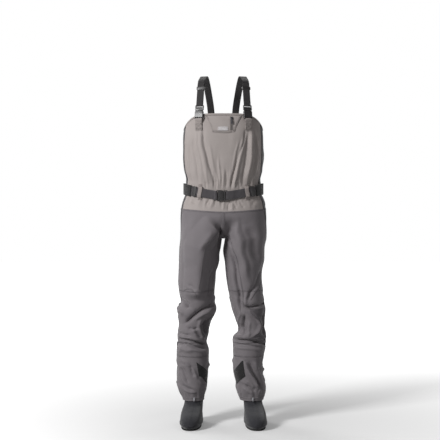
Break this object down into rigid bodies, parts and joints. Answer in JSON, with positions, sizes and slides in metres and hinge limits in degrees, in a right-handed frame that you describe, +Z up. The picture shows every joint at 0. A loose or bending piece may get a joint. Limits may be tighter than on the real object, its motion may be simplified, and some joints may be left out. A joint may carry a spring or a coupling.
{
  "type": "chest waders",
  "caption": "Stockingfoot chest waders with bib, suspenders on side-release buckles, wading belt, stash pocket, gravel guards and inner-leg kick patches.",
  "frame": {"origin": "on the ground, under the middle of the whole size, between the two soles", "axes": "+Z up; the wearer faces -Y; +X is towards the wearer's left"},
  "size_m": [0.411, 0.3339, 1.5749],
  "materials": {
    "bib_cloth": "matte woven waterproof laminate, light taupe",
    "back_cloth": "matte woven waterproof laminate, charcoal grey",
    "leg_cloth": "matte woven waterproof laminate, mid grey",
    "kick_cloth": "coarse abrasion-proof weave, near black",
    "neoprene": "foam rubber faced with jersey, charcoal",
    "sole_rubber": "dense foam rubber, black",
    "strap_webbing": "ribbed polyester webbing, black",
    "belt_webbing": "ribbed polyester webbing, dark grey",
    "back_webbing": "wide ribbed webbing, black",
    "loop_webbing": "grosgrain tape, light taupe",
    "hardware": "moulded acetal, satin black",
    "zip_tape": "coated zip tape with moulded teeth, dark grey",
    "zip_metal": "blackened metal",
    "badge_cloth": "plain woven patch, pale grey",
    "hook_steel": "bent steel strip, satin"
  },
  "bodies": {
    "shell": {"bib_front_panel": "bib_cloth", "stash_pocket": "bib_cloth", "bib_back_panel": "back_cloth", "thigh_back_left": "back_cloth", "thigh_back_right": "back_cloth", "calf_back_left": "back_cloth", "calf_back_right": "back_cloth", "guard_back_left": "back_cloth", "guard_back_right": "back_cloth", "thigh_front_left": "leg_cloth", "thigh_front_right": "leg_cloth", "knee_panel_left": "leg_cloth", "knee_panel_right": "leg_cloth", "shin_front_left": "leg_cloth", "shin_front_right": "leg_cloth", "guard_front_left": "leg_cloth", "guard_front_right": "leg_cloth", "guard_hem_left": "leg_cloth", "guard_hem_right": "leg_cloth", "crotch_gusset": "leg_cloth", "kick_patch_left": "kick_cloth", "kick_patch_right": "kick_cloth", "stocking_foot_left": "neoprene", "stocking_foot_right": "neoprene", "foot_sole_left": "sole_rubber", "foot_sole_right": "sole_rubber", "strap_run_left": "strap_webbing", "strap_run_right": "strap_webbing", "shoulder_strap_left": "strap_webbing", "shoulder_strap_right": "strap_webbing", "belt_front_left": "belt_webbing", "belt_front_right": "belt_webbing", "belt_back": "back_webbing", "back_yoke": "back_webbing", "belt_loop_left": "loop_webbing", "belt_loop_right": "loop_webbing", "bib_tab_left": "loop_webbing", "bib_tab_right": "loop_webbing", "bib_buckle_housing_left": "hardware", "bib_buckle_housing_right": "hardware", "belt_lock_left": "hardware", "belt_lock_right": "hardware", "belt_buckle_housing": "hardware", "stash_zip": "zip_tape", "chest_badge": "badge_cloth"},
    "bib_stem_left": {"bib_buckle_stem_left": "hardware"},
    "bib_prong_outer_left": {"bib_prong_outer_left": "hardware"},
    "bib_prong_inner_left": {"bib_prong_inner_left": "hardware"},
    "strap_adjuster_left": {"strap_adjuster_left": "hardware"},
    "lace_hook_left": {"lace_hook_left": "hook_steel"},
    "bib_stem_right": {"bib_buckle_stem_right": "hardware"},
    "bib_prong_outer_right": {"bib_prong_outer_right": "hardware"},
    "bib_prong_inner_right": {"bib_prong_inner_right": "hardware"},
    "strap_adjuster_right": {"strap_adjuster_right": "hardware"},
    "lace_hook_right": {"lace_hook_right": "hook_steel"},
    "belt_stem": {"belt_buckle_stem": "hardware"},
    "belt_prong_lower": {"belt_prong_lower": "hardware"},
    "belt_prong_upper": {"belt_prong_upper": "hardware"},
    "zip_slider": {"stash_zip_slider": "zip_metal"},
    "zip_pull": {"stash_zip_pull": "zip_metal"}
  },
  "joints": [
    {"name": "bib_buckle_release_left", "type": "slide", "parent": "shell", "child": "bib_stem_left", "axis": [-0.0587, 0.1958, 0.9789], "range_m": [0, 0.03], "deforming": ["strap_run_left"]},
    {"name": "bib_prong_outer_squeeze_left", "type": "hinge", "parent": "bib_stem_left", "child": "bib_prong_outer_left", "pos_m": [0.1173, -0.06278, 1.41064], "axis": [-0.3852, 0.9002, -0.2031], "range_deg": [0, 6], "stiffness_Nm_per_rad": 0.4},
    {"name": "bib_prong_inner_squeeze_left", "type": "hinge", "parent": "bib_stem_left", "child": "bib_prong_inner_left", "pos_m": [0.09796, -0.07095, 1.41111], "axis": [0.3852, -0.9002, 0.2031], "range_deg": [0, 6], "stiffness_Nm_per_rad": 0.4},
    {"name": "strap_adjust_left", "type": "slide", "parent": "shell", "child": "strap_adjuster_left", "axis": [-0.0587, 0.1958, 0.9789], "range_m": [-0.05, 0.012]},
    {"name": "lace_hook_swing_left", "type": "hinge", "parent": "shell", "child": "lace_hook_left", "pos_m": [0.13213, -0.0295, 0.124], "axis": [-1, 0, 0], "range_deg": [0, 100]},
    {"name": "bib_buckle_release_right", "type": "slide", "parent": "shell", "child": "bib_stem_right", "axis": [0.0587, 0.1958, 0.9789], "range_m": [0, 0.03], "deforming": ["strap_run_right"]},
    {"name": "bib_prong_outer_squeeze_right", "type": "hinge", "parent": "bib_stem_right", "child": "bib_prong_outer_right", "pos_m": [-0.1173, -0.06278, 1.41064], "axis": [-0.3852, -0.9002, 0.2031], "range_deg": [0, 6], "stiffness_Nm_per_rad": 0.4},
    {"name": "bib_prong_inner_squeeze_right", "type": "hinge", "parent": "bib_stem_right", "child": "bib_prong_inner_right", "pos_m": [-0.09796, -0.07095, 1.41111], "axis": [0.3852, 0.9002, -0.2031], "range_deg": [0, 6], "stiffness_Nm_per_rad": 0.4},
    {"name": "strap_adjust_right", "type": "slide", "parent": "shell", "child": "strap_adjuster_right", "axis": [0.0587, 0.1958, 0.9789], "range_m": [-0.05, 0.012]},
    {"name": "lace_hook_swing_right", "type": "hinge", "parent": "shell", "child": "lace_hook_right", "pos_m": [-0.13213, -0.0295, 0.124], "axis": [-1, 0, 0], "range_deg": [0, 100]},
    {"name": "belt_buckle_release", "type": "slide", "parent": "shell", "child": "belt_stem", "axis": [1, 0, 0], "range_m": [0, 0.024], "deforming": ["belt_front_left"]},
    {"name": "belt_prong_lower_squeeze", "type": "hinge", "parent": "belt_stem", "child": "belt_prong_lower", "pos_m": [0.0003, -0.0864, 1.0225], "axis": [0, 1, 0], "range_deg": [0, 6], "stiffness_Nm_per_rad": 0.4},
    {"name": "belt_prong_upper_squeeze", "type": "hinge", "parent": "belt_stem", "child": "belt_prong_upper", "pos_m": [0.0003, -0.0864, 1.0435], "axis": [0, -1, 0], "range_deg": [0, 6], "stiffness_Nm_per_rad": 0.4},
    {"name": "stash_zip_travel", "type": "slide", "parent": "shell", "child": "zip_slider", "axis": [0, -0.1009, -0.9949], "range_m": [0, 0.03]},
    {"name": "zip_pull_swing", "type": "hinge", "parent": "zip_slider", "child": "zip_pull", "pos_m": [0.03668, -0.09117, 1.3746], "axis": [-0.9976, -0.0693, 0.007], "range_deg": [0, 160]}
  ],
  "couplings": [
    {"joint": "bib_prong_inner_squeeze_left", "follows": "bib_prong_outer_squeeze_left", "ratio": 1},
    {"joint": "bib_prong_inner_squeeze_right", "follows": "bib_prong_outer_squeeze_right", "ratio": 1},
    {"joint": "belt_prong_upper_squeeze", "follows": "belt_prong_lower_squeeze", "ratio": 1}
  ]
}
